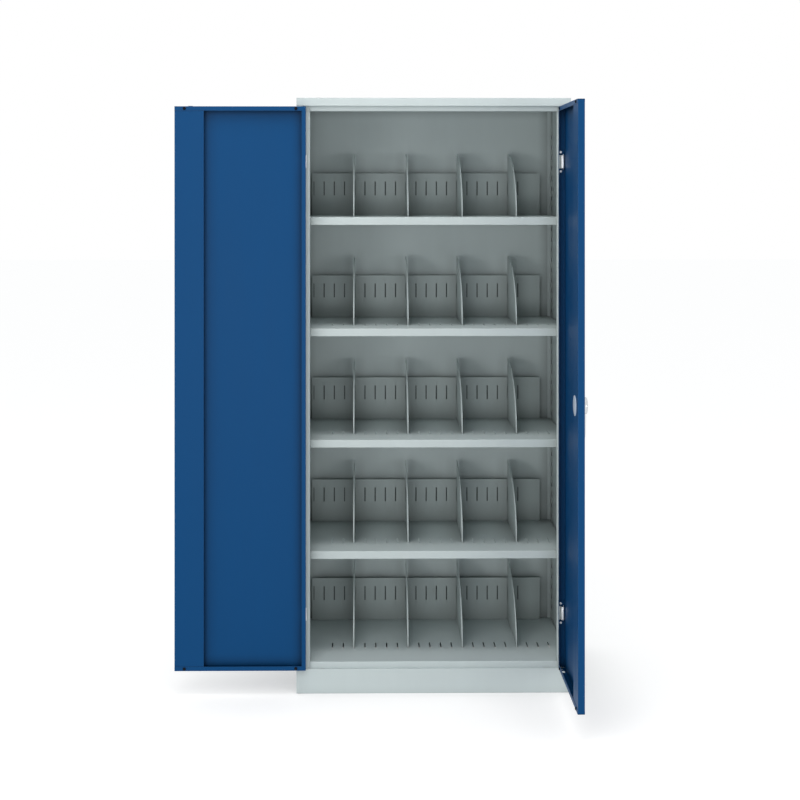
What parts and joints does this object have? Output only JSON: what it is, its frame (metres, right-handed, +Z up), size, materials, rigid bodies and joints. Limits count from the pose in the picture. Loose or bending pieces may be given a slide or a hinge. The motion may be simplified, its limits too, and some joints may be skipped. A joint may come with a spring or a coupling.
{
  "type": "material storage cabinet",
  "caption": "Tall sheet-steel storage cabinet with two hinged doors, a turning-handle rod lock, shelves, slotted rear plates and upright curved dividers.",
  "frame": {"origin": "on the floor under the body's front plane, halfway between its two sides", "axes": "+Z up, +X to the viewer's right when facing the doors, +Y from the front to the back"},
  "size_m": [1.2957, 0.9295, 1.95],
  "materials": {
    "carcass_grey": "satin powder coat",
    "inside_grey": "satin powder coat",
    "door_blue": "satin powder coat",
    "hinge_steel": "zinc plated",
    "lock_steel": "zinc plated",
    "handle_chrome": "polished",
    "cylinder_steel": "turned",
    "cover_disc": "smooth",
    "clip_steel": "zinc plated",
    "buffer_rubber": "matte"
  },
  "bodies": {
    "carcass": {"back_panel": "carcass_grey", "divider_1_1": "inside_grey", "divider_1_2": "inside_grey", "divider_1_3": "inside_grey", "divider_1_4": "inside_grey", "divider_2_1": "inside_grey", "divider_2_2": "inside_grey", "divider_2_3": "inside_grey", "divider_2_4": "inside_grey", "divider_3_1": "inside_grey", "divider_3_2": "inside_grey", "divider_3_3": "inside_grey", "divider_3_4": "inside_grey", "divider_4_1": "inside_grey", "divider_4_2": "inside_grey", "divider_4_3": "inside_grey", "divider_4_4": "inside_grey", "divider_5_1": "inside_grey", "divider_5_2": "inside_grey", "divider_5_3": "inside_grey", "divider_5_4": "inside_grey", "floor_tray": "carcass_grey", "hinge_arms_left": "hinge_steel", "hinge_arms_right": "hinge_steel", "plinth_front": "carcass_grey", "plinth_rear": "carcass_grey", "rack_rails": "inside_grey", "shelf_1": "inside_grey", "shelf_2": "inside_grey", "shelf_3": "inside_grey", "shelf_4": "inside_grey", "shelf_clips": "clip_steel", "side_panel_left": "carcass_grey", "side_panel_right": "carcass_grey", "slotted_plate_1": "inside_grey", "slotted_plate_2": "inside_grey", "slotted_plate_3": "inside_grey", "slotted_plate_4": "inside_grey", "slotted_plate_5": "inside_grey", "top_panel": "carcass_grey"},
    "left_door": {"hinge_brackets_left": "door_blue", "hinge_pins_left": "hinge_steel", "hinge_screws_left": "hinge_steel", "door_left_skin": "door_blue", "door_left_profile": "door_blue", "door_left_buffers": "buffer_rubber"},
    "right_door": {"hinge_brackets_right": "door_blue", "hinge_pins_right": "hinge_steel", "hinge_screws_right": "hinge_steel", "door_right_skin": "door_blue", "door_right_profile": "door_blue", "door_right_buffers": "buffer_rubber", "handle_rose": "handle_chrome", "lock_case": "lock_steel", "lock_cover_disc": "cover_disc"},
    "handle": {"turn_handle": "handle_chrome", "lock_pinion": "lock_steel"},
    "key_cylinder": {"lock_cylinder": "cylinder_steel"},
    "upper_rod": {"lock_rod_upper": "lock_steel"},
    "lower_rod": {"lock_rod_lower": "lock_steel"}
  },
  "joints": [
    {"name": "left_door_hinge", "type": "hinge", "parent": "carcass", "child": "left_door", "pos_m": [-0.4236, -0.00735, 1.0014], "axis": [0, 0, 1], "range_deg": [0, 180]},
    {"name": "right_door_hinge", "type": "hinge", "parent": "carcass", "child": "right_door", "pos_m": [0.4236, -0.00735, 1.0014], "axis": [0, 0, 1], "range_deg": [-90, 90]},
    {"name": "handle_turn", "type": "hinge", "parent": "right_door", "child": "handle", "pos_m": [0.44, -0.36545, 0.995], "axis": [1, 0, 0], "range_deg": [0, 90]},
    {"name": "upper_rod_slide", "type": "slide", "parent": "right_door", "child": "upper_rod", "axis": [0, 0, 1], "range_m": [0, 0.0165]},
    {"name": "lower_rod_slide", "type": "slide", "parent": "right_door", "child": "lower_rod", "axis": [0, 0, -1], "range_m": [0, 0.0165]},
    {"name": "cylinder_turn", "type": "hinge", "parent": "handle", "child": "key_cylinder", "pos_m": [0.44, -0.36545, 0.995], "axis": [1, 0, 0], "range_deg": [0, 90]}
  ],
  "couplings": [
    {"joint": "upper_rod_slide", "follows": "handle_turn", "m_per_rad": 0.0105},
    {"joint": "lower_rod_slide", "follows": "handle_turn", "m_per_rad": 0.0105}
  ]
}
